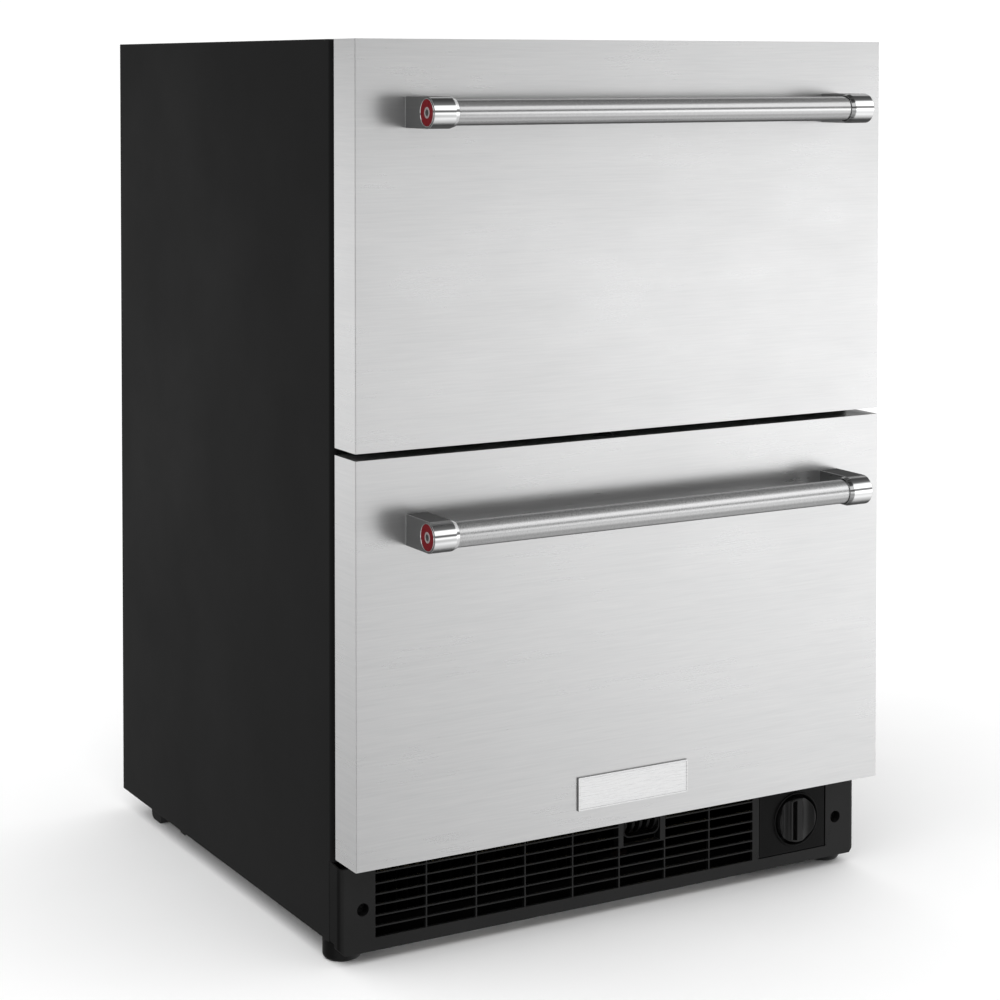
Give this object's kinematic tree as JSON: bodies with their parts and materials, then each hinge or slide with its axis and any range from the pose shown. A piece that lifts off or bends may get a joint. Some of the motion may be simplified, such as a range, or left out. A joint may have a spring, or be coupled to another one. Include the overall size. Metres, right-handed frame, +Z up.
{
  "type": "under counter drawer refrigerator",
  "caption": "Under counter refrigerator with stacked pull-out cold drawers, bar handles, a front air grille with a control knob, and a compressor base on levelling feet.",
  "frame": {"origin": "on the floor, in the middle of the overall footprint", "axes": "+Z up; the drawer fronts and handles face -Y; +X is to the right of a person facing the fronts"},
  "size_m": [0.603, 0.6562, 0.866],
  "materials": {
    "black_wrap": "satin black powder coat on steel sheet",
    "zinc_steel": "zinc coated steel sheet",
    "foam": null,
    "white_plastic": "vacuum formed white plastic",
    "black_plastic": "moulded black plastic, fine texture",
    "knob_plastic": "moulded black plastic, satin",
    "black_enamel": "black enamel",
    "rubber": "soft black rubber or vinyl",
    "copper": "drawn copper tube",
    "bare_aluminium": "bare fins",
    "stainless": "stainless sheet with a fine horizontal grain",
    "satin_bar": "satin stainless tube",
    "polished_chrome": "polished chrome",
    "badge_metal": "polished plate, blank",
    "red_enamel": "deep red enamel",
    "bin_plastic": "translucent moulded plastic",
    "lens": "frosted lens"
  },
  "bodies": {
    "cabinet": {"cabinet_shell": "black_wrap", "back_panel": "zinc_steel", "insulation_foam": "foam", "inner_liner": "white_plastic", "breaker_frame": "black_plastic", "mullion_rail": "black_wrap", "base_pan": "black_enamel", "compressor": "black_enamel", "compressor_grommets": "rubber", "compressor_bolts": "zinc_steel", "compressor_relay_cover": "black_plastic", "condenser_coil": "black_enamel", "condenser_fan_shroud": "black_plastic", "condenser_fan_motor": "black_enamel", "refrigerant_tubing": "copper", "evaporator_coil": "bare_aluminium", "evaporator_cover": "white_plastic", "evaporator_fan_motor": "white_plastic", "drain_pan": "black_plastic", "drain_tube": "rubber", "thermostat_body": "white_plastic", "thermostat_capillary": "copper", "control_panel": "black_plastic", "kick_plate": "black_plastic", "panel_screws": "black_enamel", "grille_vent_dome": "black_plastic", "rear_access_panel": "zinc_steel", "power_cord": "rubber", "light_lens": "lens", "slide_fixed_rails": "zinc_steel", "rear_glides": "black_plastic"},
    "condenser_fan": {"condenser_fan_blade": "black_plastic"},
    "evaporator_fan": {"evaporator_fan_blade": "white_plastic"},
    "control_knob": {"thermostat_knob": "knob_plastic", "thermostat_shaft": "zinc_steel"},
    "left_foot": {"front_foot_left": "black_plastic"},
    "right_foot": {"front_foot_right": "black_plastic"},
    "upper_slide_middle": {"upper_slide_middle_rails": "zinc_steel"},
    "upper_drawer": {"upper_slide_drawer_rails": "zinc_steel", "upper_drawer_skin": "stainless", "upper_drawer_foam": "foam", "upper_drawer_liner": "white_plastic", "upper_drawer_gasket": "rubber", "upper_handle_bar": "satin_bar", "upper_handle_blocks": "polished_chrome", "upper_handle_end_discs": "red_enamel", "upper_handle_screws": "zinc_steel", "upper_bin": "bin_plastic"},
    "lower_slide_middle": {"lower_slide_middle_rails": "zinc_steel"},
    "lower_drawer": {"lower_slide_drawer_rails": "zinc_steel", "lower_drawer_skin": "stainless", "lower_drawer_foam": "foam", "lower_drawer_liner": "white_plastic", "lower_drawer_gasket": "rubber", "lower_handle_bar": "satin_bar", "lower_handle_blocks": "polished_chrome", "lower_handle_end_discs": "red_enamel", "lower_handle_screws": "zinc_steel", "lower_bin": "bin_plastic", "badge_plate": "badge_metal"}
  },
  "joints": [
    {"name": "upper_drawer_slide", "type": "slide", "parent": "cabinet", "child": "upper_drawer", "axis": [0, -1, 0], "range_m": [0, 0.38]},
    {"name": "lower_drawer_slide", "type": "slide", "parent": "cabinet", "child": "lower_drawer", "axis": [0, -1, 0], "range_m": [0, 0.38]},
    {"name": "upper_slide_extension", "type": "slide", "parent": "cabinet", "child": "upper_slide_middle", "axis": [0, -1, 0], "range_m": [0, 0.19]},
    {"name": "lower_slide_extension", "type": "slide", "parent": "cabinet", "child": "lower_slide_middle", "axis": [0, -1, 0], "range_m": [0, 0.19]},
    {"name": "control_knob_turn", "type": "hinge", "parent": "cabinet", "child": "control_knob", "pos_m": [0.2246, -0.235, 0.0585], "axis": [0, -1, 0], "range_deg": [-135, 135]},
    {"name": "left_foot_height", "type": "slide", "parent": "cabinet", "child": "left_foot", "axis": [0, 0, -1], "range_m": [0, 0.02]},
    {"name": "right_foot_height", "type": "slide", "parent": "cabinet", "child": "right_foot", "axis": [0, 0, -1], "range_m": [0, 0.02]},
    {"name": "condenser_fan_spin", "type": "hinge", "parent": "cabinet", "child": "condenser_fan", "pos_m": [0.018, 0.212, 0.135], "axis": [1, 0, 0], "continuous": true},
    {"name": "evaporator_fan_spin", "type": "hinge", "parent": "cabinet", "child": "evaporator_fan", "pos_m": [0, 0.249, 0.765], "axis": [0, -1, 0], "continuous": true}
  ],
  "couplings": [
    {"joint": "upper_slide_extension", "follows": "upper_drawer_slide", "ratio": 0.5},
    {"joint": "lower_slide_extension", "follows": "lower_drawer_slide", "ratio": 0.5}
  ]
}
